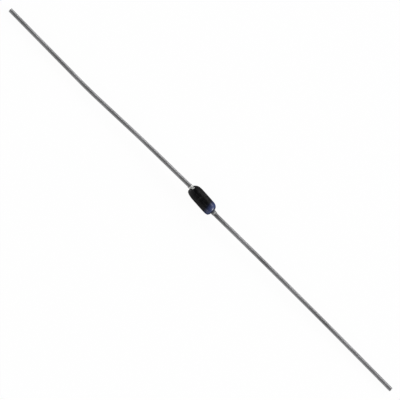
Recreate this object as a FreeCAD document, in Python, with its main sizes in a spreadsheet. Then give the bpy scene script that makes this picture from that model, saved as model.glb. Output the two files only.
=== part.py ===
import FreeCAD, Part
import math
import os
import Sketcher

# Zener diode in an axial glass sleeve, in millimetres.
# +X runs along the sleeve towards the banded cathode end and +Z is up.
# The origin is on the floor under the middle of the sleeve.

doc = FreeCAD.newDocument("zener_diode")

# Name, size in millimetres or degrees, and what it is.
driving_sizes = [
    ("glass_length", 3.60, "sleeve, rim to rim"),
    ("glass_dia", 1.54, "sleeve, across the straight middle"),
    ("end_draw_in", 0.05, "how much smaller the rounded ends are in radius than the middle"),
    ("shoulder_length", 0.42, "axial length over which the sleeve is drawn in"),
    ("slug_dia", 0.62, "plug, and the bore of the sleeve fused to it"),
    ("anode_slug_proud", 0.245, "how far the anode plug stands out of the rim"),
    ("cathode_slug_proud", 0.35, "how far the cathode plug stands out of the rim"),
    ("slug_chamfer", 0.03, "edge break on both ends of a plug"),
    ("die_side", 0.38, "silicon chip, square"),
    ("die_thickness", 0.15, "silicon chip"),
    ("bump_dia", 0.24, "contact bump on the chip"),
    ("bump_height", 0.05, "contact bump on the chip"),
    ("bump_round", 0.015, "rounded edge of the bump"),
    ("coat_thickness", 0.05, "lacquer over the glass"),
    ("coat_opening_dia", 0.76, "end openings of the lacquer, which leave a lip of bare glass"),
    ("bare_spot_dia", 0.52, "round spot that the black lacquer misses, beside the anode opening"),
    ("bare_spot_across", 0.14, "from the plug's middle to the middle of the bare spot, towards +Y"),
    ("bare_spot_up", 0.40, "from the plug's middle to the middle of the bare spot, upwards"),
    ("band_edge", 0.915, "from the middle of the sleeve to the edge of the blue band"),
    ("lead_dia", 0.50, "wire"),
    ("weld_length", 0.12, "bulge of the butt weld, along the wire"),
    ("weld_height", 0.04, "bulge of the butt weld, above the wire"),
    ("tip_chamfer", 0.04, "edge break at the cut end of a wire"),
    ("exit_bend_radius", 1.0, "bend close to the plug, both wires"),
    ("anode_lead_length", 28.86, "wire from the plug to the tip, along its bends"),
    ("anode_exit_run", 0.13, "straight wire from the plug to the first bend"),
    ("anode_exit_angle", 4.26, "first bend"),
    ("anode_mid_run", 4.68, "straight wire between the first and second bends"),
    ("anode_mid_radius", 221.0, "second bend, a long bow"),
    ("anode_mid_angle", 1.20, "second bend"),
    ("anode_late_run", 4.81, "straight wire between the second and third bends"),
    ("anode_late_radius", 70.0, "third bend, the kink"),
    ("anode_late_angle", -2.70, "third bend"),
    ("cathode_lead_length", 28.545, "wire from the plug to the tip, along its bends"),
    ("cathode_exit_run", 0.28, "straight wire from the plug to the first bend"),
    ("cathode_exit_angle", 4.10, "first bend"),
    ("cathode_mid_run", 5.31, "straight wire between the first and second bends"),
    ("cathode_mid_radius", 373.0, "second bend, a long bow"),
    ("cathode_mid_angle", -0.53, "second bend"),
    ("cathode_late_run", 4.84, "straight wire between the second and third bends"),
    ("cathode_late_radius", 822.0, "third bend, a longer bow"),
    ("cathode_late_angle", -0.58, "third bend"),
]

sheet = doc.addObject("Spreadsheet::Sheet", "Sizes")
for row, (alias, value, meaning) in enumerate(driving_sizes, start=1):
    sheet.set(f"A{row}", meaning)
    sheet.set(f"B{row}", str(value))
    sheet.setAlias(f"B{row}", alias)
doc.recompute()

# Places and sizes that several pieces share, as formulas of the sheet.
axis_height = "(Sizes.glass_dia / 2 + Sizes.coat_thickness)"
dome_radius = "(Sizes.glass_dia / 2 - Sizes.end_draw_in)"
dome_centre = f"(Sizes.glass_length / 2 - sqrt(pow({dome_radius}; 2) - pow(Sizes.slug_dia / 2; 2)))"
stack_half = "((Sizes.die_thickness + Sizes.bump_height) / 2)"
slug_ends = {
    "anode": "(Sizes.glass_length / 2 + Sizes.anode_slug_proud)",
    "cathode": "(Sizes.glass_length / 2 + Sizes.cathode_slug_proud)",
}


def size(alias):
    return float(sheet.get(alias))


def newBody(name):
    body = doc.addObject("PartDesign::Body", name)
    body.Label = name
    return body


def newSketch(body, name, plane):
    origin_plane = next(f for f in body.Origin.OriginFeatures if f.Role == plane)
    sketch = body.newObject("Sketcher::SketchObject", name)
    sketch.AttachmentSupport = [(origin_plane, "")]
    sketch.MapMode = "FlatFace"
    doc.recompute()
    return sketch


def constrain(sketch, name, formula, kind, *where):
    # The number is a start for the solver; the formula then sets it.
    value = sketch.evalExpression(formula)
    value = getattr(value, "Value", value)
    start = math.radians(value) if kind == "Angle" else value
    index = sketch.addConstraint(Sketcher.Constraint(kind, *where, start))
    sketch.renameConstraint(index, name)
    sketch.setExpression(f"Constraints.{name}", f"({formula}) * 1 deg" if kind == "Angle" else formula)


def join(sketch, kind, *where):
    sketch.addConstraint(Sketcher.Constraint(kind, *where))


def point(x, y):
    return FreeCAD.Vector(x, y, 0)


def circleSketch(body, name, plane, diameter_formula, across=None, up=None):
    # Round section about the origin, or about a middle given by two formulas.
    sketch = newSketch(body, name, plane)
    radius = sketch.evalExpression(diameter_formula) / 2
    middle = point(sketch.evalExpression(across), sketch.evalExpression(up)) if across else point(0, 0)
    sketch.addGeometry(Part.Circle(middle, FreeCAD.Vector(0, 0, 1), radius))
    if across:
        constrain(sketch, "across", across, "DistanceX", -1, 1, 0, 3)
        constrain(sketch, "up", up, "DistanceY", -1, 1, 0, 3)
    else:
        join(sketch, "Coincident", 0, 3, -1, 1)
    constrain(sketch, "diameter", diameter_formula, "Diameter", 0)
    return sketch


def pad(body, sketch, name, length_formula):
    feature = body.newObject("PartDesign::Pad", name)
    feature.Profile = sketch
    feature.setExpression("Length", length_formula)
    doc.recompute()
    return feature


def edgesAt(feature, x):
    # Names of the edges of a padded shape that lie at one place along X.
    near = 0.0001
    names = []
    for number, edge in enumerate(feature.Shape.Edges, start=1):
        box = edge.BoundBox
        if abs(box.XMin - x) < near and abs(box.XMax - x) < near:
            names.append(f"Edge{number}")
    return names


def capsuleSketch(body, name, grow):
    # Half outline of the sleeve: two domes centred on the axis, two long shoulder arcs
    # tangent to them, and the straight middle. grow is the formula of a layer added all over.
    sketch = newSketch(body, name, "XZ_Plane")
    radius = sketch.evalExpression(f"Sizes.glass_dia / 2 + {grow}")
    dome = sketch.evalExpression(f"{dome_radius} + {grow}")
    centre = sketch.evalExpression(dome_centre)
    shoulder = size("shoulder_length")
    shoulder_radius = (shoulder**2 + radius**2 - dome**2) / (2 * (radius - dome))
    lean = math.asin(shoulder / (shoulder_radius - dome))
    up = math.pi / 2
    z = FreeCAD.Vector(0, 0, 1)

    def arc(x, y, r, start, end):
        return Part.ArcOfCircle(Part.Circle(point(x, y), z, r), start, end)

    drop = radius - shoulder_radius
    straight = centre - shoulder
    sketch.addGeometry(
        [
            arc(centre, 0, dome, 0, up - lean),
            arc(straight, drop, shoulder_radius, up - lean, up),
            Part.LineSegment(point(straight, radius), point(-straight, radius)),
            arc(-straight, drop, shoulder_radius, up, up + lean),
            arc(-centre, 0, dome, up + lean, math.pi),
            Part.LineSegment(point(-centre - dome, 0), point(centre + dome, 0)),
        ]
    )
    right_dome, right_shoulder, middle, left_shoulder, left_dome, chord = range(6)
    join(sketch, "Tangent", right_dome, 2, right_shoulder, 1)
    join(sketch, "Tangent", right_shoulder, 2, middle, 1)
    join(sketch, "Tangent", middle, 2, left_shoulder, 1)
    join(sketch, "Tangent", left_shoulder, 2, left_dome, 1)
    join(sketch, "Coincident", left_dome, 2, chord, 1)
    join(sketch, "Coincident", chord, 2, right_dome, 1)
    join(sketch, "PointOnObject", right_dome, 3, -1)
    join(sketch, "PointOnObject", chord, 1, -1)
    join(sketch, "PointOnObject", chord, 2, -1)
    join(sketch, "Symmetric", middle, 1, middle, 2, -2)
    join(sketch, "Symmetric", right_dome, 3, left_dome, 3, -2)
    join(sketch, "Equal", right_dome, left_dome)
    constrain(sketch, "middle_radius", f"Sizes.glass_dia / 2 + {grow}", "DistanceY", -1, 1, middle, 1)
    constrain(sketch, "dome_radius", f"{dome_radius} + {grow}", "Radius", right_dome)
    constrain(sketch, "dome_centre", dome_centre, "DistanceX", -1, 1, right_dome, 3)
    constrain(sketch, "shoulder_length", "Sizes.shoulder_length", "DistanceX", middle, 1, right_dome, 3)
    doc.recompute()
    return sketch


def turn(body, sketch, kind, name):
    # Full turn of a half outline about the long axis, added or cut.
    feature = body.newObject(f"PartDesign::{kind}", name)
    feature.Profile = sketch
    feature.ReferenceAxis = (sketch, ["H_Axis"])
    feature.Angle = 360.0
    doc.recompute()
    return feature


def boreThrough(body, name, diameter_formula):
    # Round hole along the whole axis.
    feature = body.newObject("PartDesign::Pocket", name)
    feature.Profile = circleSketch(body, f"{name}_sketch", "YZ_Plane", diameter_formula)
    feature.Type = "ThroughAll"
    feature.Midplane = True
    doc.recompute()
    return feature


def liftToAxis(body):
    body.setExpression("Placement.Base.z", axis_height)


def makeGlassSleeve():
    body = newBody("glass_sleeve")
    outline = capsuleSketch(body, "sleeve_outline", "0")
    turn(body, outline, "Revolution", "sleeve")
    boreThrough(body, "plug_bore", "Sizes.slug_dia")
    liftToAxis(body)
    return body


def cutAwayAcrossBand(body, name, keeps_cathode_end):
    # Square block on one side of the band's edge, larger than the sleeve in every direction.
    sketch = newSketch(body, f"{name}_sketch", "XZ_Plane")
    edge = size("band_edge")
    reach = -size("glass_length") if keeps_cathode_end else size("glass_length")
    half = size("glass_dia")
    corners = [point(edge, -half), point(edge, half), point(edge + reach, half), point(edge + reach, -half)]
    for start, end in zip(corners, corners[1:] + corners[:1]):
        sketch.addGeometry(Part.LineSegment(start, end))
    for side in range(4):
        join(sketch, "Coincident", side, 2, (side + 1) % 4, 1)
    join(sketch, "Symmetric", 0, 1, 0, 2, -1)
    join(sketch, "Horizontal", 1)
    join(sketch, "Vertical", 2)
    join(sketch, "Horizontal", 3)
    constrain(sketch, "edge", "Sizes.band_edge", "DistanceX", -1, 1, 0, 1)
    constrain(sketch, "height", "Sizes.glass_dia * 2", "Distance", 0)
    constrain(sketch, "reach", "Sizes.glass_length", "Distance", 1)
    feature = body.newObject("PartDesign::Pocket", name)
    feature.Profile = sketch
    feature.Type = "ThroughAll"
    feature.Midplane = True
    doc.recompute()


def bareSpot(body):
    # The lacquer misses a round spot on the anode end's dome, on top and towards +Y.
    middle = ["Sizes.bare_spot_across", "Sizes.bare_spot_up"]
    feature = body.newObject("PartDesign::Pocket", "bare_spot")
    feature.Profile = circleSketch(body, "bare_spot_circle", "YZ_Plane", "Sizes.bare_spot_dia", *middle)
    feature.Type = "ThroughAll"
    doc.recompute()


def makeCoat(name, keeps_cathode_end):
    # Lacquer on the glass, from an end opening up to the edge of the band.
    body = newBody(name)
    prefix = name.split("_")[0]
    outside = capsuleSketch(body, f"{prefix}_outside", "Sizes.coat_thickness")
    turn(body, outside, "Revolution", f"{prefix}_layer")
    boreThrough(body, f"{prefix}_opening", "Sizes.coat_opening_dia")
    inside = capsuleSketch(body, f"{prefix}_inside", "0")
    turn(body, inside, "Groove", f"{prefix}_glass_room")
    cutAwayAcrossBand(body, f"{prefix}_trim", keeps_cathode_end)
    if not keeps_cathode_end:
        bareSpot(body)
    liftToAxis(body)
    return body


def makeSlug(side, sign):
    # Plug from the chip stack out past the rim; sign is +1 towards the cathode end.
    body = newBody(f"{side}_slug")
    section = circleSketch(body, f"{side}_slug_circle", "YZ_Plane", "Sizes.slug_dia")
    rod = pad(body, section, f"{side}_slug_rod", f"{slug_ends[side]} - {stack_half}")
    edges = edgesAt(rod, 0) + edgesAt(rod, rod.Length.Value)
    chamfer = body.newObject("PartDesign::Chamfer", f"{side}_slug_edges")
    chamfer.Base = (rod, edges)
    chamfer.setExpression("Size", "Sizes.slug_chamfer")
    body.Placement.Rotation = FreeCAD.Rotation(FreeCAD.Vector(0, 0, 1), 0 if sign > 0 else 180)
    body.setExpression("Placement.Base.x", f"{sign} * {stack_half}")
    liftToAxis(body)
    return body


def makeDie():
    # Square chip, soldered flat on the cathode plug.
    body = newBody("zener_die")
    sketch = newSketch(body, "die_square", "YZ_Plane")
    half = size("die_side") / 2
    corners = [point(-half, -half), point(half, -half), point(half, half), point(-half, half)]
    for start, end in zip(corners, corners[1:] + corners[:1]):
        sketch.addGeometry(Part.LineSegment(start, end))
    for side in range(4):
        join(sketch, "Coincident", side, 2, (side + 1) % 4, 1)
    join(sketch, "Horizontal", 0)
    join(sketch, "Vertical", 1)
    join(sketch, "Horizontal", 2)
    join(sketch, "Vertical", 3)
    join(sketch, "Symmetric", 0, 1, 1, 2, -1, 1)
    join(sketch, "Equal", 0, 1)
    constrain(sketch, "side", "Sizes.die_side", "Distance", 0)
    pad(body, sketch, "die_chip", "Sizes.die_thickness")
    body.setExpression("Placement.Base.x", f"{stack_half} - Sizes.die_thickness")
    liftToAxis(body)
    return body


def makeBump():
    # Round silver contact between the chip and the anode plug.
    body = newBody("anode_bump")
    section = circleSketch(body, "bump_circle", "YZ_Plane", "Sizes.bump_dia")
    button = pad(body, section, "bump_button", "Sizes.bump_height")
    rounding = body.newObject("PartDesign::Fillet", "bump_edge")
    rounding.Base = (button, edgesAt(button, 0))
    rounding.setExpression("Radius", "Sizes.bump_round")
    body.setExpression("Placement.Base.x", f"0 - {stack_half}")
    liftToAxis(body)
    return body


def spineSketch(body, side):
    # Centre line of a wire: straight runs joined by tangent arcs, in the plane of its bends.
    sketch = newSketch(body, f"{side}_spine", "XY_Plane")
    x = y = heading = 0.0
    z = FreeCAD.Vector(0, 0, 1)
    runs = ["exit", "mid", "late", "tip"]
    heading_formula = "0"
    left_over = f"Sizes.{side}_lead_length"
    last = None
    for run in runs:
        run_formula = left_over if run == "tip" else f"Sizes.{side}_{run}_run"
        length = sketch.evalExpression(run_formula)
        start = point(x, y)
        x += length * math.cos(heading)
        y += length * math.sin(heading)
        line = sketch.addGeometry(Part.LineSegment(start, point(x, y)))
        if last is None:
            join(sketch, "Coincident", line, 1, -1, 1)
            join(sketch, "Horizontal", line)
        else:
            join(sketch, "Tangent", last[0], last[1], line, 1)
            constrain(sketch, f"{run}_heading", heading_formula, "Angle", line)
        constrain(sketch, f"{run}_run", run_formula, "Distance", line)
        if run == "tip":
            index = sketch.addConstraint(Sketcher.Constraint("DistanceY", -1, 1, line, 2, y))
            sketch.setDriving(index, False)
            sketch.renameConstraint(index, "tip_offset")
            break
        radius_formula = "Sizes.exit_bend_radius" if run == "exit" else f"Sizes.{side}_{run}_radius"
        angle_name = f"{side}_{run}_angle"
        radius = sketch.evalExpression(radius_formula)
        bend = math.radians(size(angle_name))
        hand = math.copysign(1.0, bend)
        centre = point(x - hand * radius * math.sin(heading), y + hand * radius * math.cos(heading))
        before = heading - hand * math.pi / 2
        heading += bend
        after = heading - hand * math.pi / 2
        x = centre.x + radius * math.cos(after)
        y = centre.y + radius * math.sin(after)
        first, second = (before, after) if hand > 0 else (after, before)
        arc = sketch.addGeometry(Part.ArcOfCircle(Part.Circle(centre, z, radius), first, second))
        enters, leaves = (1, 2) if hand > 0 else (2, 1)
        join(sketch, "Tangent", line, 2, arc, enters)
        constrain(sketch, f"{run}_bend_radius", radius_formula, "Radius", arc)
        heading_formula = f"{heading_formula} + Sizes.{angle_name}"
        left_over += f" - {run_formula} - {radius_formula} * abs(Sizes.{angle_name}) * pi / 180"
        last = (arc, leaves)
    doc.recompute()
    return sketch


def weldSketch(body, side):
    # Half outline of the wire's inner end with the bulge of its butt weld.
    sketch = newSketch(body, f"{side}_weld_outline", "XZ_Plane")
    length = size("weld_length")
    wire = size("lead_dia") / 2
    height = size("weld_height")
    radius = (length**2 / 4 + height**2) / (2 * height)
    centre = point(length / 2, wire + height - radius)
    lean = math.asin(length / 2 / radius)
    circle = Part.Circle(centre, FreeCAD.Vector(0, 0, 1), radius)
    sketch.addGeometry(
        [
            Part.ArcOfCircle(circle, math.pi / 2 - lean, math.pi / 2 + lean),
            Part.LineSegment(point(0, wire), point(0, 0)),
            Part.LineSegment(point(0, 0), point(length, 0)),
            Part.LineSegment(point(length, 0), point(length, wire)),
        ]
    )
    join(sketch, "Coincident", 1, 1, 0, 2)
    join(sketch, "Coincident", 1, 2, -1, 1)
    join(sketch, "Coincident", 2, 1, -1, 1)
    join(sketch, "Coincident", 2, 2, 3, 1)
    join(sketch, "Coincident", 3, 2, 0, 1)
    join(sketch, "Vertical", 1)
    join(sketch, "Horizontal", 2)
    join(sketch, "Vertical", 3)
    join(sketch, "Equal", 1, 3)
    bulge_radius = "(pow(Sizes.weld_length; 2) / 4 + pow(Sizes.weld_height; 2)) / (2 * Sizes.weld_height)"
    constrain(sketch, "weld_length", "Sizes.weld_length", "Distance", 2)
    constrain(sketch, "wire_radius", "Sizes.lead_dia / 2", "Distance", 1)
    constrain(sketch, "bulge_radius", bulge_radius, "Radius", 0)
    doc.recompute()
    return sketch


def makeLead(side, sign):
    # Wire welded to the outer face of its plug. Its bends lie in one plane, and that plane
    # is rolled about the long axis just far enough for the tip to reach the floor.
    body = newBody(f"{side}_lead")
    turn(body, weldSketch(body, side), "Revolution", f"{side}_weld")
    spine = spineSketch(body, side)
    section = circleSketch(body, f"{side}_section", "YZ_Plane", "Sizes.lead_dia")
    wire = body.newObject("PartDesign::AdditivePipe", f"{side}_wire")
    wire.Profile = section
    wire.Spine = (spine, [f"Edge{n + 1}" for n in range(len(spine.Shape.Edges))])
    doc.recompute()
    tip_face = max(wire.Shape.Faces, key=lambda face: face.CenterOfMass.x)
    names = []
    for number, edge in enumerate(wire.Shape.Edges, start=1):
        if any(edge.isSame(rim) for rim in tip_face.Edges):
            names.append(f"Edge{number}")
    chamfer = body.newObject("PartDesign::Chamfer", f"{side}_cut_end")
    chamfer.Base = (wire, names)
    chamfer.setExpression("Size", "Sizes.tip_chamfer")
    drop = f"({axis_height} - Sizes.lead_dia / 2) * 1 mm"
    roll = f"asin({drop} / {spine.Name}.Constraints.tip_offset)"
    yaw = 0 if sign > 0 else 180
    root = f"vector({sign} * {slug_ends[side]}; 0; {axis_height})"
    body.setExpression("Placement", f"placement({root}; rotationz({yaw}) * rotationx(-{roll}))")
    return body


sub_parts = [
    makeGlassSleeve(),
    makeSlug("anode", -1),
    makeSlug("cathode", 1),
    makeDie(),
    makeBump(),
    makeCoat("black_coat", False),
    makeCoat("cathode_band", True),
    makeLead("anode", -1),
    makeLead("cathode", 1),
]
doc.recompute()

for item in doc.Objects:
    if "Invalid" in item.State or "Error" in item.State:
        raise RuntimeError(f"{item.Label} failed: {item.State}")
for body in sub_parts:
    if body.Shape.isNull() or not body.Shape.isValid():
        raise RuntimeError(f"{body.Label} has no valid shape")

os.makedirs("parts", exist_ok=True)
for body in sub_parts:
    body.Shape.exportStep(f"parts/{body.Label}.step")
    box = body.Shape.BoundBox
    print(f"{body.Label}: {body.Shape.Volume:.4f} mm3")
    print(f"    X {box.XMin:.3f} to {box.XMax:.3f}, Y {box.YMin:.3f} to {box.YMax:.3f}")
    print(f"    Z {box.ZMin:.3f} to {box.ZMax:.3f}")
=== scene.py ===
import math

import bmesh
import bpy
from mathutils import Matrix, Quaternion, Vector


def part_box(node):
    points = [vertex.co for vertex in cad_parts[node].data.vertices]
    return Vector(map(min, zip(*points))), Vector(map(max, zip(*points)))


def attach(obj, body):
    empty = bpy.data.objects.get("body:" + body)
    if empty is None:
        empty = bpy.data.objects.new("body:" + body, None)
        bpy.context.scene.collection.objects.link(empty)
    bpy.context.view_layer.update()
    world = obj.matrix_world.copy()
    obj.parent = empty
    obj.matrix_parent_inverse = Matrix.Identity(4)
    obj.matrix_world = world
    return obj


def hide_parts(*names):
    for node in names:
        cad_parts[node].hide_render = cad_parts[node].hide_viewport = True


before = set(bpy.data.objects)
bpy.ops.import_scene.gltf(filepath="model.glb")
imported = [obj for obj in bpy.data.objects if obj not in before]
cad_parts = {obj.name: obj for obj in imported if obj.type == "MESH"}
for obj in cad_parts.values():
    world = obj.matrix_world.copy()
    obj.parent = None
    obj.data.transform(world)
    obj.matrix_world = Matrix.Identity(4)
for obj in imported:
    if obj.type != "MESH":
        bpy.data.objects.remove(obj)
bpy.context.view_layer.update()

# Zener diode in a painted glass sleeve, lying on a pale floor and seen from straight above.
# +X runs along the sleeve to the blue band, +Z is up, and settings are in millimetres and degrees.

unit = 0.001  # metres in a millimetre
sameSpot = 0.001  # points that are this near count as one
axisHeight = sum(corner.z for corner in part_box("cathode_slug")) / 2 / unit  # middle of the sleeve


# Modelling steps

def selectOnly(piece):
    bpy.ops.object.select_all(action="DESELECT")
    piece.select_set(True)
    bpy.context.view_layer.objects.active = piece


def startRing(name, place, radius, sides):
    # An open ring of vertices that faces along X, ready to be extruded.
    bpy.ops.object.select_all(action="DESELECT")
    bpy.ops.mesh.primitive_circle_add(
        vertices=sides,
        radius=radius * unit,
        location=[value * unit for value in place],
        rotation=(0, math.pi / 2, 0),
    )
    piece = bpy.context.object
    piece.name = name
    piece.data.name = name
    bpy.ops.object.transform_apply(location=True, rotation=True, scale=True)
    bpy.ops.object.mode_set(mode="EDIT")
    bpy.ops.mesh.select_all(action="SELECT")
    return piece


def extrudeTo(step, factor, centre):
    # The selected ring is extruded by a step and then widened or narrowed about its own centre.
    move = [value * unit for value in step]
    bpy.ops.mesh.extrude_region_move(TRANSFORM_OT_translate={"value": move})
    bpy.ops.transform.resize(value=(1, factor, factor), center_override=[value * unit for value in centre])


def turnedPiece(name, outline, sides, closed):
    # outline is (x, radius) from station to station. A closed one comes back to its first station.
    place, radius = outline[0]
    piece = startRing(name, (place, 0, axisHeight), radius, sides)
    if not closed:
        bpy.ops.mesh.edge_face_add()
    for nextPlace, nextRadius in outline[1:]:
        extrudeTo((nextPlace - place, 0, 0), nextRadius / radius, (nextPlace, 0, axisHeight))
        place, radius = nextPlace, nextRadius
    closeShell()
    return piece


def closeShell():
    # Merges what lies on itself and turns every face outwards.
    bpy.ops.mesh.select_all(action="SELECT")
    bpy.ops.mesh.remove_doubles(threshold=sameSpot * unit)
    bpy.ops.mesh.normals_make_consistent(inside=False)
    bpy.ops.object.mode_set(mode="OBJECT")


def arcSteps(first, last, count):
    return [first + (last - first) * step / count for step in range(count + 1)]


def selectEdges(piece, wanted):
    # Edges of the piece in edit mode, picked by the places of their two ends in millimetres.
    bpy.ops.mesh.select_all(action="DESELECT")
    bpy.ops.mesh.select_mode(type="EDGE")
    mesh = bmesh.from_edit_mesh(piece.data)
    for edge in mesh.edges:
        ends = [vertex.co / unit for vertex in edge.verts]
        edge.select_set(all(wanted(end) for end in ends))
    bmesh.update_edit_mesh(piece.data)


def roughenShape(piece, size, height):
    # Slow unevenness of a hand-made surface, in the mesh itself.
    texture = bpy.data.textures.new(f"{piece.name}_unevenness", "CLOUDS")
    texture.noise_scale = size * unit
    texture.noise_depth = 1
    selectOnly(piece)
    modifier = piece.modifiers.new("unevenness", "DISPLACE")
    modifier.texture = texture
    modifier.texture_coords = "LOCAL"
    modifier.strength = height * unit
    modifier.mid_level = 0.75  # mostly inwards
    bpy.ops.object.modifier_apply(modifier=modifier.name)


def finishPiece(piece, node, material, smoothBelow=35):
    selectOnly(piece)
    bpy.ops.object.shade_smooth_by_angle(angle=math.radians(smoothBelow))
    piece.data.materials.clear()
    piece.data.materials.append(material)
    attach(piece, "root")
    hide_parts(node)


# Material steps

def linear(hexColour):
    values = [int(hexColour[start:start + 2], 16) / 255 for start in (0, 2, 4)]
    return [v / 12.92 if v <= 0.04045 else ((v + 0.055) / 1.055) ** 2.4 for v in values] + [1.0]


def newMaterial(name):
    material = bpy.data.materials.new(name)
    material.use_nodes = True
    material.node_tree.nodes.clear()
    return material, material.node_tree


def addNode(tree, kind, settings=None, links=None):
    # A setting is a socket's name or number, a property of the node, or a ramp's stops, each
    # (place, hex colour). A link is a socket and its source.
    node = tree.nodes.new(kind)
    for key, value in (settings or {}).items():
        if key == "stops":
            elements = node.color_ramp.elements
            while len(elements) < len(value):
                elements.new(0.5)
            for element, (place, hexColour) in zip(elements, value):
                element.position = place
                element.color = linear(hexColour)
        elif isinstance(key, int) or key in node.inputs:
            node.inputs[key].default_value = value
        else:
            setattr(node, key, value)
    for key, source in (links or {}).items():
        tree.links.new(source, node.inputs[key])
    return node


def inMillimetres(tree, grain=(1, 1, 1), turn=0.0):
    # The piece's own coordinates from the middle of the sleeve, in grains of so many millimetres.
    place = addNode(tree, "ShaderNodeTexCoord").outputs["Object"]
    return addNode(
        tree,
        "ShaderNodeMapping",
        {
            "vector_type": "TEXTURE",
            "Location": (0, 0, axisHeight * unit),
            "Rotation": (0, 0, math.radians(turn)),
            "Scale": [value * unit for value in grain],
        },
        {"Vector": place},
    ).outputs["Vector"]


def alongSleeve(tree, run):
    # 0 before the first place along X and 1 after the second.
    split = addNode(tree, "ShaderNodeSeparateXYZ", links={"Vector": inMillimetres(tree)})
    return addNode(
        tree,
        "ShaderNodeMapRange",
        {"From Min": run[0], "From Max": run[1]},
        {"Value": split.outputs["X"]},
    ).outputs["Result"]


# Paint, metal, glass and chip

bandSettings = {
    "seam": 0.915,              # where the blue coat's own piece begins
    "lift": 0.075,              # the blue lies over the black, so it stands this much higher on the dome
    "liftRun": (0.72, 0.12),    # lengths over which it rises at the seam and falls at the exit
    "edge": 0.72,               # where the blue begins to show on the top line
    "slant": 0.164,             # how far the edge moves towards the middle per millimetre across
    "waviness": 0.10,           # how far the brushed edge strays
    "waveSize": 0.625,          # length of one of its waves
    "fadeAndShade": 0.70,               # length over which the blue rises to full, partly as it thickens over the black and partly painted shade
    # how much of the black is hidden along the fade, partly painted shade
    "coverAndShade": [(0.0, "000000"), (0.25, "4c4c4c"), (0.45, "909090"), (0.70, "e6e6e6"), (1.0, "ffffff")],
}


def bandPlace(tree, place):
    # 0 where only the black shows and 1 where the blue covers, along a slanted and wavy edge. The long rise
    # between is partly painted shade, darker towards the black and on the -Y side.
    along = addNode(
        tree,
        "ShaderNodeVectorMath",
        {"operation": "DOT_PRODUCT", 1: (1, bandSettings["slant"], 0)},
        {0: place},
    ).outputs["Value"]
    waves = addNode(
        tree,
        "ShaderNodeTexNoise",
        {"Scale": 1 / bandSettings["waveSize"], "Detail": 2.0},
        {"Vector": place},
    ).outputs["Fac"]
    strayed = addNode(
        tree,
        "ShaderNodeMath",
        {"operation": "MULTIPLY_ADD", 1: 2 * bandSettings["waviness"]},
        {0: waves, 2: along},
    ).outputs["Value"]
    start = bandSettings["edge"] + bandSettings["waviness"]
    return addNode(
        tree,
        "ShaderNodeMapRange",
        {"From Min": start, "From Max": start + bandSettings["fadeAndShade"]},
        {"Value": strayed},
    ).outputs["Result"]


lacquerSettings = {
    "cloudSize": 0.40,              # cloudy patches of thicker and thinner paint
    "streak": (0.7, 0.14, 0.14),    # streaks that the roller left along the sleeve
    "streakShare": 0.5,             # how much they count against the clouds
    "streakHeight": 0.0030,
    "peelSize": 0.11,               # one bump of the orange peel
    "gritSize": 0.03,               # pigment grains, drawn coarser than real ones so that they show
    "gritHeight": 0.0006,
    "black": [(0.36, "020203"), (0.50, "050506"), (0.64, "202021")],
    "blue": [(0.36, "1d2745"), (0.64, "2e385d")],
    "level": 0.10,                  # specular level of the paint itself
    "glossy": 0.36,                 # its roughness in the darker clouds
    "dull": 0.50,                   # its roughness in the paler ones
    "cloudRun": (0.35, 0.65),       # values of the clouds from the one to the other
    "rim": 0.85,                    # its roughness where the surface has turned away from the eye
    "rimRun": (0.10, 0.50),         # how far it turns meanwhile, 0 straight on and 1 edge on
    "varnish": 0.55,                # weight of the clear gloss in the blue paint
    "varnishRun": (0.24, 0.50),     # it fades away as the surface turns this far
    "varnishRoughness": 0.30,
}
# Round the wire exit the paint turns to another colour: on the blue band painted shade, a dark rim round the
# end of its dome, and on the black coat a grey ring. Its colour is full up to the first radius and gone at
# the second.
blackFinish = {
    "peelHeight": 0.0022,
    "exitRing": "3e3e3f",
    "exitRingRun": (0.45, 0.76),
    "exitRingShift": 0.12,    # how far this ring lies to one side of the wire
}
blueFinish = {
    "peelHeight": 0.0006,
    # painted shade: dark rim round the blue dome's end
    "exitRing": "131620",
    "exitRingRun": (0.52, 0.72),
    "exitRingShift": 0.0,
}


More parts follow.
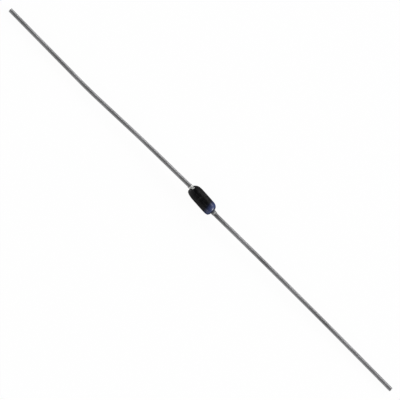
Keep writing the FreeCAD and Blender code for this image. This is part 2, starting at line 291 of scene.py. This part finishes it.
def lacquer(name, finish):
    # Air-dried enamel: even and dark, with soft orange peel, a little grit and paler clouds.
    size = lacquerSettings
    material, tree = newMaterial(name)
    place = inMillimetres(tree)
    clouds = addNode(
        tree,
        "ShaderNodeTexNoise",
        {"Scale": 1 / size["cloudSize"], "Detail": 4.0, "Roughness": 0.6},
        {"Vector": place},
    ).outputs["Fac"]
    streaks = addNode(
        tree,
        "ShaderNodeTexNoise",
        {"Scale": 1.0, "Detail": 3.0, "Roughness": 0.6},
        {"Vector": inMillimetres(tree, size["streak"])},
    ).outputs["Fac"]
    uneven = addNode(tree, "ShaderNodeMix", {0: size["streakShare"]}, {2: clouds, 3: streaks}).outputs[0]
    black = addNode(tree, "ShaderNodeValToRGB", {"stops": size["black"]}, {"Fac": uneven}).outputs["Color"]
    blue = addNode(tree, "ShaderNodeValToRGB", {"stops": size["blue"]}, {"Fac": uneven}).outputs["Color"]
    # blue over black; its slow rise is partly painted shade
    coverAndShade = addNode(
        tree,
        "ShaderNodeValToRGB",
        {"stops": bandSettings["coverAndShade"]},
        {"Fac": bandPlace(tree, place)},
    ).outputs["Color"]
    painted = addNode(tree, "ShaderNodeMix", {"data_type": "RGBA"}, {0: coverAndShade, 6: black, 7: blue}).outputs[2]

    # Ring round the wire exit: painted shade on the blue band, a grey ring on the black coat.
    fromWire = addNode(
        tree,
        "ShaderNodeVectorMath",
        {"operation": "MULTIPLY_ADD", 1: (0, 1, 1), 2: (0, finish["exitRingShift"], 0)},
        {0: place},
    ).outputs["Vector"]
    reach = addNode(tree, "ShaderNodeVectorMath", {"operation": "LENGTH"}, {0: fromWire}).outputs["Value"]
    exitRing = addNode(
        tree,
        "ShaderNodeMapRange",
        {"From Min": finish["exitRingRun"][0], "From Max": finish["exitRingRun"][1], "To Min": 1.0, "To Max": 0.0},
        {"Value": reach},
    ).outputs["Result"]
    withExitRing = addNode(
        tree,
        "ShaderNodeMix",
        {"data_type": "RGBA", 7: linear(finish["exitRing"])},
        {0: exitRing, 6: painted},
    ).outputs[2]

    peel = addNode(
        tree,
        "ShaderNodeTexNoise",
        {"Scale": 1 / size["peelSize"], "Detail": 1.0},
        {"Vector": place},
    ).outputs["Fac"]
    grit = addNode(
        tree,
        "ShaderNodeTexNoise",
        {"Scale": 1 / size["gritSize"], "Detail": 2.0},
        {"Vector": place},
    ).outputs["Fac"]
    rolled = addNode(tree, "ShaderNodeBump", {"Distance": size["streakHeight"] * unit}, {"Height": streaks})
    fine = addNode(
        tree,
        "ShaderNodeBump",
        {"Distance": size["gritHeight"] * unit},
        {"Height": grit, "Normal": rolled.outputs["Normal"]},
    )
    bump = addNode(
        tree,
        "ShaderNodeBump",
        {"Distance": finish["peelHeight"] * unit},
        {"Height": peel, "Normal": fine.outputs["Normal"]},
    )

    sheen = addNode(
        tree,
        "ShaderNodeMapRange",
        {
            "From Min": size["cloudRun"][0],
            "From Max": size["cloudRun"][1],
            "To Min": size["glossy"],
            "To Max": size["dull"],
        },
        {"Value": uneven},
    ).outputs["Result"]
    lean = addNode(tree, "ShaderNodeLayerWeight", {"Blend": 0.5}).outputs["Facing"]
    dulled = addNode(
        tree,
        "ShaderNodeMapRange",
        {"From Min": size["rimRun"][0], "From Max": size["rimRun"][1], "To Max": size["rim"]},
        {"Value": lean, "To Min": sheen},
    ).outputs["Result"]
    gloss = addNode(
        tree,
        "ShaderNodeMapRange",
        {
            "From Min": size["varnishRun"][0],
            "From Max": size["varnishRun"][1],
            "To Min": size["varnish"],
            "To Max": 0.0,
        },
        {"Value": lean},
    ).outputs["Result"]
    varnish = addNode(tree, "ShaderNodeMath", {"operation": "MULTIPLY"}, {0: coverAndShade, 1: gloss})
    shader = addNode(
        tree,
        "ShaderNodeBsdfPrincipled",
        {"IOR": 1.5, "Specular IOR Level": size["level"], "Coat Roughness": size["varnishRoughness"]},
        {
            "Base Color": withExitRing,
            "Roughness": dulled,
            "Coat Weight": varnish.outputs["Value"],
            "Normal": bump.outputs["Normal"],
        },
    )
    addNode(tree, "ShaderNodeOutputMaterial", links={"Surface": shader.outputs["BSDF"]})
    return material


wireFinish = {
    "lineLength": 6.0,           # one drawing line
    "lineWidth": 0.035,          # coarser than the lines of a real die, so that they show
    "lineHeight": 0.0018,
    "patch": (4.2, 1.4, 1.4),    # duller and brighter patches of the tin
    "turn": 4.1,                 # the wires run at about this angle to the sleeve
    "tin": [(0.35, "929293"), (0.65, "b9b9bb")],
    "toneRun": (1.9, 4.4),       # the cathode wire is darker just past its weld, and slowly gets paler
    "tone": [(0.0, "d0d0d0"), (0.09, "d0d0d0"), (0.14, "9c9c9c"), (1.0, "cacaca")],
    "glossy": 0.46,              # roughness of the darker patches
    "dull": 0.58,                # roughness of the paler ones
}


def drawnTinnedWire():
    # Copper wire drawn through a die and tinned: soft grey shine, fine lines along it, dull patches.
    size = wireFinish
    material, tree = newMaterial("drawn_tinned_wire")
    alongWire = inMillimetres(tree, (size["lineLength"], size["lineWidth"], size["lineWidth"]), size["turn"])
    lines = addNode(
        tree,
        "ShaderNodeTexNoise",
        {"Scale": 1.0, "Detail": 3.0},
        {"Vector": alongWire},
    ).outputs["Fac"]
    patches = addNode(
        tree,
        "ShaderNodeTexNoise",
        {"Scale": 1.0, "Detail": 5.0, "Roughness": 0.6},
        {"Vector": inMillimetres(tree, size["patch"], size["turn"])},
    ).outputs["Fac"]
    tin = addNode(tree, "ShaderNodeValToRGB", {"stops": size["tin"]}, {"Fac": patches}).outputs["Color"]
    tone = addNode(
        tree,
        "ShaderNodeValToRGB",
        {"stops": size["tone"]},
        {"Fac": alongSleeve(tree, size["toneRun"])},
    ).outputs["Color"]
    colour = addNode(
        tree,
        "ShaderNodeMix",
        {"data_type": "RGBA", "blend_type": "MULTIPLY", 0: 1.0},
        {6: tin, 7: tone},
    ).outputs[2]
    dullness = addNode(
        tree,
        "ShaderNodeMapRange",
        {"From Min": 0.3, "From Max": 0.7, "To Min": size["glossy"], "To Max": size["dull"]},
        {"Value": patches},
    ).outputs["Result"]
    bump = addNode(tree, "ShaderNodeBump", {"Distance": size["lineHeight"] * unit}, {"Height": lines})
    shader = addNode(
        tree,
        "ShaderNodeBsdfPrincipled",
        {"Metallic": 1.0},
        {"Base Color": colour, "Roughness": dullness, "Normal": bump.outputs["Normal"]},
    )
    addNode(tree, "ShaderNodeOutputMaterial", links={"Surface": shader.outputs["BSDF"]})
    return material


plugFinish = {
    "grain": 0.05,             # specks of the oxide
    "grainHeight": 0.002,
    "speckle": [(0.3, "d9d9d9"), (0.7, "ffffff")],
    "toneRun": (1.70, 2.20),   # the anode plug has the first tone, and the cathode plug the others, painted shade on its end
    "tone": [(0.0, "dededc"), (0.10, "585b60"), (0.46, "5c5f63"), (0.64, "828384"), (0.82, "9b9b99")],
    "roughness": 0.6,
}


def oxidisedPlugWithPaintedShade():
    # Nickel-iron plug, matt and grey. The cathode plug's end is painted shade, dark by the glass lip and
    # paler towards the weld.
    size = plugFinish
    material, tree = newMaterial("oxidised_nickel_iron_painted_shade")
    grain = addNode(
        tree,
        "ShaderNodeTexNoise",
        {"Scale": 1 / size["grain"], "Detail": 4.0, "Roughness": 0.6},
        {"Vector": inMillimetres(tree)},
    ).outputs["Fac"]
    # painted shade on the cathode plug's end
    tone = addNode(
        tree,
        "ShaderNodeValToRGB",
        {"stops": size["tone"]},
        {"Fac": alongSleeve(tree, size["toneRun"])},
    ).outputs["Color"]
    speckle = addNode(tree, "ShaderNodeValToRGB", {"stops": size["speckle"]}, {"Fac": grain}).outputs["Color"]
    colour = addNode(
        tree,
        "ShaderNodeMix",
        {"data_type": "RGBA", "blend_type": "MULTIPLY", 0: 1.0},
        {6: tone, 7: speckle},
    ).outputs[2]
    bump = addNode(tree, "ShaderNodeBump", {"Distance": size["grainHeight"] * unit}, {"Height": grain})
    shader = addNode(
        tree,
        "ShaderNodeBsdfPrincipled",
        {"Metallic": 1.0, "Roughness": size["roughness"]},
        {"Base Color": colour, "Normal": bump.outputs["Normal"]},
    )
    addNode(tree, "ShaderNodeOutputMaterial", links={"Surface": shader.outputs["BSDF"]})
    return material


glassFinish = {
    "colour": "eef1ee",
    "roughness": 0.03,
    "index": 1.56,              # refraction of lead glass
    "clear": 0.67,              # the rest of it is milky
    "wave": (2.0, 0.5, 0.5),    # slow waves along the drawn tube
    "waveHeight": 0.002,
}


def firePolishedGlass():
    # Soft lead glass melted round the plugs: a little milky and faintly green, with slow draw waves.
    size = glassFinish
    material, tree = newMaterial("fire_polished_glass")
    waves = addNode(
        tree,
        "ShaderNodeTexNoise",
        {"Scale": 1.0, "Detail": 1.0},
        {"Vector": inMillimetres(tree, size["wave"])},
    ).outputs["Fac"]
    bump = addNode(tree, "ShaderNodeBump", {"Distance": size["waveHeight"] * unit}, {"Height": waves})
    shader = addNode(
        tree,
        "ShaderNodeBsdfPrincipled",
        {
            "Base Color": linear(size["colour"]),
            "Roughness": size["roughness"],
            "IOR": size["index"],
            "Transmission Weight": size["clear"],
        },
        {"Normal": bump.outputs["Normal"]},
    )
    addNode(tree, "ShaderNodeOutputMaterial", links={"Surface": shader.outputs["BSDF"]})
    return material


siliconFinish = {
    "cut": (0.008, 0.4, 0.4),    # saw lines
    "cutHeight": 0.001,
    "tone": [(0.3, "3b4048"), (0.7, "575d66")],
    "metallic": 0.8,
    "roughness": 0.35,
}


def sawnSilicon():
    # Chip sawn from a polished wafer: dark blue-grey, metallic shine, saw lines on its edges.
    size = siliconFinish
    material, tree = newMaterial("sawn_silicon")
    cuts = addNode(
        tree,
        "ShaderNodeTexNoise",
        {"Scale": 1.0, "Detail": 2.0},
        {"Vector": inMillimetres(tree, size["cut"])},
    ).outputs["Fac"]
    colour = addNode(tree, "ShaderNodeValToRGB", {"stops": size["tone"]}, {"Fac": cuts}).outputs["Color"]
    bump = addNode(tree, "ShaderNodeBump", {"Distance": size["cutHeight"] * unit}, {"Height": cuts})
    shader = addNode(
        tree,
        "ShaderNodeBsdfPrincipled",
        {"Metallic": size["metallic"], "Roughness": size["roughness"]},
        {"Base Color": colour, "Normal": bump.outputs["Normal"]},
    )
    addNode(tree, "ShaderNodeOutputMaterial", links={"Surface": shader.outputs["BSDF"]})
    return material


silverFinish = {
    "grain": 0.02,    # one knob of the plating
    "grainHeight": 0.001,
    "colour": "e6e3dc",
    "roughness": 0.42,
}


def platedSilver():
    # Silver grown in a plating bath: white, satin, with a fine knobbly grain.
    size = silverFinish
    material, tree = newMaterial("plated_silver")
    grain = addNode(
        tree,
        "ShaderNodeTexVoronoi",
        {"Scale": 1 / size["grain"], "feature": "SMOOTH_F1"},
        {"Vector": inMillimetres(tree)},
    ).outputs["Distance"]
    bump = addNode(tree, "ShaderNodeBump", {"Distance": size["grainHeight"] * unit}, {"Height": grain})
    shader = addNode(
        tree,
        "ShaderNodeBsdfPrincipled",
        {"Base Color": linear(size["colour"]), "Metallic": 1.0, "Roughness": size["roughness"]},
        {"Normal": bump.outputs["Normal"]},
    )
    addNode(tree, "ShaderNodeOutputMaterial", links={"Surface": shader.outputs["BSDF"]})
    return material


blackEnamel = lacquer("black_enamel", blackFinish)
blueEnamel = lacquer("blue_enamel", blueFinish)
tinnedWire = drawnTinnedWire()
plugMetal = oxidisedPlugWithPaintedShade()
clearGlass = firePolishedGlass()
silicon = sawnSilicon()
silver = platedSilver()
print("materials made")

# Glass sleeve and its coats

sleeveSettings = {
    "length": 3.60,
    "radius": 0.77,
    "drawnIn": 0.05,              # the ends are this much smaller in radius than the middle
    "shoulder": 0.42,             # length over which it is drawn in
    "bore": 0.31,
    "coat": 0.05,                 # lacquer thickness
    "opening": 0.38,              # radius at which the lacquer ends
    "edgeRound": 0.018,           # rounded lip of the lacquer
    "sink": 0.002,                # lacquer and plug reach this far into the glass, as they wet it
    "sides": 96,
    "shoulderSteps": 8,
    "domeSteps": 16,
    "spotRadius": 0.235,          # round spot on the anode end's dome that the lacquer misses
    "spotPlace": (0.11, 0.42),    # across and above the middle of the sleeve
    "spotSides": 72,
    "sagFrom": 1.20,              # the coats sag to one side from here outwards, in steps
    "sagStep": 0.09,              # length of one step
    "sagSteps": 6,
    "anodeSag": (-0.0012, -0.0028, 0),    # push at the first step, and each next one adds as much again
    "cathodeSag": (0.0012, -0.0024, 0),
    "unevenSize": 0.5,            # slow unevenness of the lacquer
    "unevenHeight": 0.006,
}


def sleeveHalf(grow, endRadius):
    # Stations (x, radius) of one half, from the straight middle to where the dome is down to endRadius.
    size = sleeveSettings
    radius = size["radius"] + grow
    dome = size["radius"] - size["drawnIn"] + grow
    domeCentre = size["length"] / 2 - math.sqrt((dome - grow) ** 2 - size["bore"] ** 2)
    straight = domeCentre - size["shoulder"]
    sweep = (size["shoulder"] ** 2 + radius**2 - dome**2) / (2 * (radius - dome))
    lean = math.asin(size["shoulder"] / (sweep - dome))
    shoulder = [
        (straight + sweep * math.sin(a), radius - sweep + sweep * math.cos(a))
        for a in arcSteps(0, lean, size["shoulderSteps"])
    ]
    end = math.acos(endRadius / dome)
    domed = [
        (domeCentre + dome * math.sin(a), dome * math.cos(a))
        for a in arcSteps(lean, end, size["domeSteps"])
    ]
    return shoulder + domed[1:]


def mirrored(stations):
    return [(-x, r) for x, r in reversed(stations)]


def makeGlass():
    size = sleeveSettings
    half = sleeveHalf(0, size["bore"])
    bore = size["bore"] - size["sink"]
    end = size["length"] / 2
    outline = mirrored(half) + half + [(end, bore), (-end, bore)]
    piece = turnedPiece("glass_sleeve_clear", outline + [outline[0]], size["sides"], closed=True)
    finishPiece(piece, "glass_sleeve", clearGlass)


def missSpot(piece):
    # Cuts the spot out of the lacquer with a rod that lies along the sleeve.
    size = sleeveSettings
    across, up = size["spotPlace"]
    bpy.ops.object.select_all(action="DESELECT")
    bpy.ops.mesh.primitive_cylinder_add(
        vertices=size["spotSides"],
        radius=size["spotRadius"] * unit,
        depth=size["length"] / 2 * unit,
        location=(-size["length"] / 2 * unit, across * unit, (axisHeight + up) * unit),
        rotation=(0, math.pi / 2, 0),
    )
    rod = bpy.context.object
    selectOnly(piece)
    modifier = piece.modifiers.new("bare_spot", "BOOLEAN")
    modifier.operation = "DIFFERENCE"
    modifier.object = rod
    bpy.ops.object.modifier_apply(modifier=modifier.name)
    bpy.data.objects.remove(rod)


def sagEnd(piece, side, sag):
    # The outer skin of one end is pushed a little to one side, more and more towards the wire.
    size = sleeveSettings
    dome = size["radius"] - size["drawnIn"]
    domeCentre = size["length"] / 2 - math.sqrt(dome**2 - size["bore"] ** 2)
    skin = dome + size["coat"] / 2
    bpy.ops.object.mode_set(mode="EDIT")
    bpy.ops.mesh.select_mode(type="VERT")
    for step in range(size["sagSteps"]):
        start = size["sagFrom"] + step * size["sagStep"]
        bpy.ops.mesh.select_all(action="DESELECT")
        mesh = bmesh.from_edit_mesh(piece.data)
        for vertex in mesh.verts:
            x, y, z = vertex.co / unit
            out = math.dist((side * x, y, z), (domeCentre, 0, axisHeight))
            vertex.select_set(side * x > start and out > skin)
        bmesh.update_edit_mesh(piece.data)
        bpy.ops.transform.translate(value=[value * unit * (step + 1) for value in sag])
    bpy.ops.object.mode_set(mode="OBJECT")


def coatHalf():
    # Stations of the lacquer's outside, of its rounded lip and of its inside, from the middle outwards.
    size = sleeveSettings
    lip = size["edgeRound"]
    outside = sleeveHalf(size["coat"], size["opening"] + lip)
    inside = sleeveHalf(-size["sink"], size["opening"])
    (x, r), (innerX, innerR) = outside[-1], inside[-1]
    back = innerX - x
    rounded = [
        (x + back * 0.15 + lip * 0.62, r - lip * 0.72),  # just past the outer edge
        (x + back * 0.55 + lip * 0.40, innerR),          # about halfway to the glass
    ]
    return outside, rounded, inside


def radiusAt(stations, x):
    # The shoulder's radius between two of its stations.
    for (x0, r0), (x1, r1) in zip(stations, stations[1:]):
        if x0 <= x <= x1:
            return r0 + (r1 - r0) * (x - x0) / (x1 - x0)


def makeCoats():
    size = sleeveSettings
    seam = bandSettings["seam"]
    outside, lip, inside = coatHalf()
    outer = size["radius"] + size["coat"]
    inner = size["radius"] - size["sink"]
    seamOuter, seamInner = radiusAt(outside, seam), radiusAt(inside, seam)
    middle = [-0.5, -0.25, 0.0, 0.25, 0.5]  # stations of the straight part
    coat = mirrored(outside) + [(x, outer) for x in middle] + [s for s in outside if s[0] < seam]
    coat += [(seam, seamOuter), (seam, seamInner)] + [s for s in reversed(inside) if s[0] < seam]
    coat += [(x, inner) for x in reversed(middle)] + list(reversed(mirrored(inside)))
    coat += [(-x, r) for x, r in reversed(lip)]
    piece = turnedPiece("black_coat_enamel", coat + [coat[0]], size["sides"], closed=True)
    sagEnd(piece, -1, size["anodeSag"])
    missSpot(piece)
    roughenShape(piece, size["unevenSize"], size["unevenHeight"])
    finishPiece(piece, "black_coat", blackEnamel)

    rise, fall = bandSettings["liftRun"]
    over = [
        (x, r + bandSettings["lift"] * min(1, (x - seam) / rise, (lip[0][0] - x) / fall))
        for x, r in outside
        if x > seam
    ]
    band = [(seam, seamOuter)] + over + lip
    band += [s for s in reversed(inside) if s[0] > seam] + [(seam, seamInner)]
    piece = turnedPiece("cathode_band_enamel", band + [band[0]], size["sides"], closed=True)
    sagEnd(piece, 1, size["cathodeSag"])
    roughenShape(piece, size["unevenSize"], size["unevenHeight"])
    finishPiece(piece, "cathode_band", blueEnamel)


makeGlass()
makeCoats()
print("sleeve and coats made")

# Plugs, chip and contact bump

stackSettings = {
    "plugRadius": 0.31,
    "anodePlugEnd": 2.045,
    "cathodePlugEnd": 2.15,
    "plugChamfer": 0.03,
    "plugSides": 64,
    "stackHalf": 0.10,      # half of the chip and bump together
    "dieSide": 0.38,
    "dieThickness": 0.15,
    "dieEdge": 0.004,
    "bumpRadius": 0.12,
    "bumpRound": 0.015,
    "bumpSides": 48,
    "bumpSteps": 5,
}


def makePlug(name, node, side, outer):
    size = stackSettings
    inner, radius, chamfer = size["stackHalf"], size["plugRadius"], size["plugChamfer"]
    low = radius - chamfer
    soft = chamfer / 3  # the chamfer's own two edges are eased by this much
    outline = [
        (inner, low),
        (inner + chamfer, radius),
        (outer - chamfer - soft / 2, radius),
        (outer - chamfer + soft / 2, radius - soft / 2),
        (outer - soft / 2, low + soft / 2),
        (outer, low - soft / 2),
    ]
    piece = turnedPiece(name, [(side * x, r) for x, r in outline], size["plugSides"], closed=False)
    capEnd(piece, side * outer)
    finishPiece(piece, node, plugMetal, smoothBelow=30)


def capEnd(piece, x):
    # Fills the open ring that lies at one place along X.
    selectOnly(piece)
    bpy.ops.object.mode_set(mode="EDIT")
    selectEdges(piece, lambda end: abs(end.x - x) < sameSpot)
    bpy.ops.mesh.edge_face_add()
    closeShell()


def makeDie():
    size = stackSettings
    centre = size["stackHalf"] - size["dieThickness"] / 2
    bpy.ops.object.select_all(action="DESELECT")
    bpy.ops.mesh.primitive_cube_add(size=unit, location=(centre * unit, 0, axisHeight * unit))
    piece = bpy.context.object
    piece.name = "zener_die_sawn"
    piece.data.name = piece.name
    piece.scale = (size["dieThickness"], size["dieSide"], size["dieSide"])
    bpy.ops.object.transform_apply(location=True, rotation=True, scale=True)
    bpy.ops.object.mode_set(mode="EDIT")
    bpy.ops.mesh.select_all(action="SELECT")
    bpy.ops.mesh.bevel(offset=size["dieEdge"] * unit, segments=2, affect="EDGES")
    closeShell()
    finishPiece(piece, "zener_die", silicon)


def makeBump():
    size = stackSettings
    start = -size["stackHalf"]
    end = size["stackHalf"] - size["dieThickness"]
    radius, soft = size["bumpRadius"], size["bumpRound"]
    rounded = [
        (start + soft - soft * math.cos(a), radius - soft + soft * math.sin(a))
        for a in arcSteps(0, math.pi / 2, size["bumpSteps"])
    ]
    piece = turnedPiece("anode_bump_plated", rounded + [(end, radius)], size["bumpSides"], closed=False)
    capEnd(piece, end)
    finishPiece(piece, "anode_bump", silver)


makePlug("anode_slug_plug", "anode_slug", -1, stackSettings["anodePlugEnd"])
makePlug("cathode_slug_plug", "cathode_slug", 1, stackSettings["cathodePlugEnd"])
makeDie()
makeBump()
print("plugs, chip and bump made")

# Wires

wireSettings = {
    "radius": 0.25,
    "sides": 40,
    "weldLength": 0.12,
    "weldHeight": 0.04,    # how far the weld bulges
    "weldSteps": 8,
    "bendStep": 1.5,       # length of one step along a bend
    "bendSteps": 6,        # fewest steps of a bend
    "tipChamfer": 0.04,
    "floorDrop": 0.57,     # from the plug's middle to the middle of a tip
}
# Each run is straight and lies before its bend. What the length has left is straight and ends in the tip.
anodeBends = {
    "length": 28.86,
    "exit": {"run": 0.13, "radius": 1.0, "angle": 4.26},
    "mid": {"run": 4.68, "radius": 221.0, "angle": 1.20},
    "late": {"run": 4.81, "radius": 70.0, "angle": -2.70},
}
cathodeBends = {
    "length": 28.545,
    "exit": {"run": 0.28, "radius": 1.0, "angle": 4.10},
    "mid": {"run": 5.31, "radius": 373.0, "angle": -0.53},
    "late": {"run": 4.84, "radius": 822.0, "angle": -0.58},
}


def tipRun(bends):
    # What is left of the wire after its other runs and its bends.
    used = sum(
        bends[name]["run"] + bends[name]["radius"] * abs(math.radians(bends[name]["angle"]))
        for name in ("exit", "mid", "late")
    )
    return bends["length"] - used


def tipOffset(bends):
    # How far the tip strays sideways from the line of the plug, in the plane of the bends.
    offset = heading = 0.0
    for name in ("exit", "mid", "late"):
        bend = bends[name]
        after = heading + math.radians(bend["angle"])
        hand = math.copysign(1, bend["angle"])
        offset += bend["run"] * math.sin(heading)
        offset += hand * bend["radius"] * (math.cos(heading) - math.cos(after))
        heading = after
    return offset + tipRun(bends) * math.sin(heading)


def makeWire(name, node, side, start, bends):
    # Extruded from the plug outwards, with each bend turned about its own centre.
    size = wireSettings
    roll = math.asin(size["floorDrop"] / tipOffset(bends))
    ahead = Vector((side, 0, 0))
    sideways = Vector((0, side * math.cos(roll), -math.sin(roll)))
    hinge = ahead.cross(sideways)
    spot = Vector((side * start, 0, axisHeight))
    piece = startRing(name, spot, size["radius"], size["sides"])
    bpy.ops.mesh.edge_face_add()
    # the weld bulges along a circle through its two ends
    weldRadius = size["weldLength"] ** 2 / 8 / size["weldHeight"] + size["weldHeight"] / 2
    lastBulge = 0.0
    for along in arcSteps(0, size["weldLength"], size["weldSteps"])[1:]:
        middle = along - size["weldLength"] / 2
        bulge = math.sqrt(weldRadius**2 - middle**2) - weldRadius + size["weldHeight"]
        step = ahead * size["weldLength"] / size["weldSteps"]
        spot += step
        extrudeTo(step, (size["radius"] + bulge) / (size["radius"] + lastBulge), spot)
        lastBulge = bulge
    done = size["weldLength"]
    for bendName in ("exit", "mid", "late"):
        bend = bends[bendName]
        step = ahead * (bend["run"] - done)
        spot = spot + step
        extrudeTo(step, 1, spot)
        turn = math.radians(bend["angle"])
        centre = spot + math.copysign(bend["radius"], turn) * hinge.cross(ahead)
        bpy.ops.mesh.spin(
            steps=max(size["bendSteps"], round(bend["radius"] * abs(turn) / size["bendStep"])),
            angle=-turn,  # spin counts the other way
            center=centre * unit,
            axis=hinge,
        )
        turned = Quaternion(hinge, turn)
        spot = centre + turned @ (spot - centre)
        ahead = turned @ ahead
        done = 0.0
    step = ahead * (tipRun(bends) - size["tipChamfer"])
    spot += step
    extrudeTo(step, 1, spot)
    step = ahead * size["tipChamfer"]
    spot += step
    extrudeTo(step, 1 - size["tipChamfer"] / size["radius"], spot)
    bpy.ops.mesh.edge_face_add()
    closeShell()
    finishPiece(piece, node, tinnedWire, smoothBelow=40)
    return spot


anodeTip = makeWire("anode_wire", "anode_lead", -1, stackSettings["anodePlugEnd"], anodeBends)
cathodeTip = makeWire("cathode_wire", "cathode_lead", 1, stackSettings["cathodePlugEnd"], cathodeBends)
print("wires made, tips at", [round(v, 3) for v in anodeTip], [round(v, 3) for v in cathodeTip])

# Floor, light and camera

studioSettings = {
    "floorSize": 4000.0,
    "floorColour": "ffffff",
    "floorGlow": 0.96,       # share of the floor's white that the camera and reflections see as its own
    "skyTop": 0.28,          # brightness of the tent overhead
    "skyEdge": 1.60,         # brightness of the tent at the horizon
    "skyFall": 1.5,          # how soon it gets dark from there upwards
    "lampDistance": 1000.0,
}


def makeFloor():
    size = studioSettings
    bpy.ops.object.select_all(action="DESELECT")
    bpy.ops.mesh.primitive_plane_add(size=size["floorSize"] * unit)
    floor = bpy.context.object
    floor.name = "floor"
    material, tree = newMaterial("white_paper")
    rays = addNode(tree, "ShaderNodeLightPath")
    seen = rays.outputs["Is Camera Ray"]
    for kind in ("Is Glossy Ray", "Is Transmission Ray"):
        seen = addNode(
            tree,
            "ShaderNodeMath",
            {"operation": "MAXIMUM"},
            {0: seen, 1: rays.outputs[kind]},
        ).outputs["Value"]
    share = addNode(tree, "ShaderNodeMath", {"operation": "MULTIPLY", 1: size["floorGlow"]}, {0: seen})
    paper = addNode(tree, "ShaderNodeBsdfDiffuse", {"Color": linear(size["floorColour"])})
    white = addNode(tree, "ShaderNodeEmission", {"Strength": 1.0})
    mixed = addNode(
        tree,
        "ShaderNodeMixShader",
        links={0: share.outputs["Value"], 1: paper.outputs["BSDF"], 2: white.outputs["Emission"]},
    )
    addNode(tree, "ShaderNodeOutputMaterial", links={"Surface": mixed.outputs["Shader"]})
    floor.data.materials.append(material)


def makeSky():
    # A pale tent with a dark opening overhead, through which the camera looks.
    size = studioSettings
    world = bpy.data.worlds.new("tent")
    bpy.context.scene.world = world
    world.use_nodes = True
    tree = world.node_tree
    tree.nodes.clear()
    towards = addNode(tree, "ShaderNodeTexCoord").outputs["Generated"]
    height = addNode(tree, "ShaderNodeSeparateXYZ", links={"Vector": towards}).outputs["Z"]
    low = addNode(
        tree,
        "ShaderNodeMapRange",
        {"From Min": 0.0, "From Max": 1.0, "To Min": 1.0, "To Max": 0.0},
        {"Value": height},
    ).outputs["Result"]
    fall = addNode(
        tree,
        "ShaderNodeMath",
        {"operation": "POWER", 1: size["skyFall"]},
        {0: low},
    ).outputs["Value"]
    strength = addNode(
        tree,
        "ShaderNodeMapRange",
        {"To Min": size["skyTop"], "To Max": size["skyEdge"]},
        {"Value": fall},
    ).outputs["Result"]
    shader = addNode(tree, "ShaderNodeBackground", links={"Strength": strength})
    addNode(tree, "ShaderNodeOutputWorld", links={"Surface": shader.outputs["Background"]})


# Azimuth from +X towards +Y and elevation, then width, height and brightness, where 1 is white.
lampSettings = {
    "box_anode_end": (164, 5.5, 300, 160, 4.0),
    "box_cathode_end": (25, 9, 380, 380, 30.0),
    "box_back_side": (90, 24, 900, 200, 6.3),
    "box_front_side": (270, 28, 900, 160, 2.6),
}


def softLight(name, azimuth, elevation, width, height, level):
    light = bpy.data.lights.new(name, "AREA")
    light.shape = "RECTANGLE"
    light.size = width * unit
    light.size_y = height * unit
    light.energy = level * math.pi * light.size * light.size_y
    lamp = bpy.data.objects.new(name, light)
    bpy.context.scene.collection.objects.link(lamp)
    around, up = math.radians(azimuth), math.radians(elevation)
    towards = Vector((math.cos(around) * math.cos(up), math.sin(around) * math.cos(up), math.sin(up)))
    lamp.location = towards * studioSettings["lampDistance"] * unit
    lamp.rotation_euler = towards.to_track_quat("Z", "Y").to_euler()


cameraSettings = {
    "lens": 200.0,
    "sensor": 36.0,
    "frameWidth": 45.714,            # what the picture takes in
    "turn": 48.2,                    # of the picture about the upright line of sight
    "aim": (-0.121, -0.201, 0.6),    # middle of the picture
    "clip": (0.01, 20.0),            # in metres
}


def makeCamera():
    size = cameraSettings
    camera = bpy.data.cameras.new("camera")
    camera.lens = size["lens"]
    camera.sensor_width = size["sensor"]
    camera.clip_start, camera.clip_end = size["clip"]
    holder = bpy.data.objects.new("camera", camera)
    bpy.context.scene.collection.objects.link(holder)
    distance = size["frameWidth"] * size["lens"] / size["sensor"]
    holder.location = (Vector(size["aim"]) + Vector((0, 0, distance))) * unit
    holder.rotation_euler = (0, 0, math.radians(size["turn"]))
    bpy.context.scene.camera = holder


makeFloor()
makeSky()
for name, values in lampSettings.items():
    softLight(name, *values)
makeCamera()
bpy.context.scene.view_settings.view_transform = "Standard"
print("studio made")
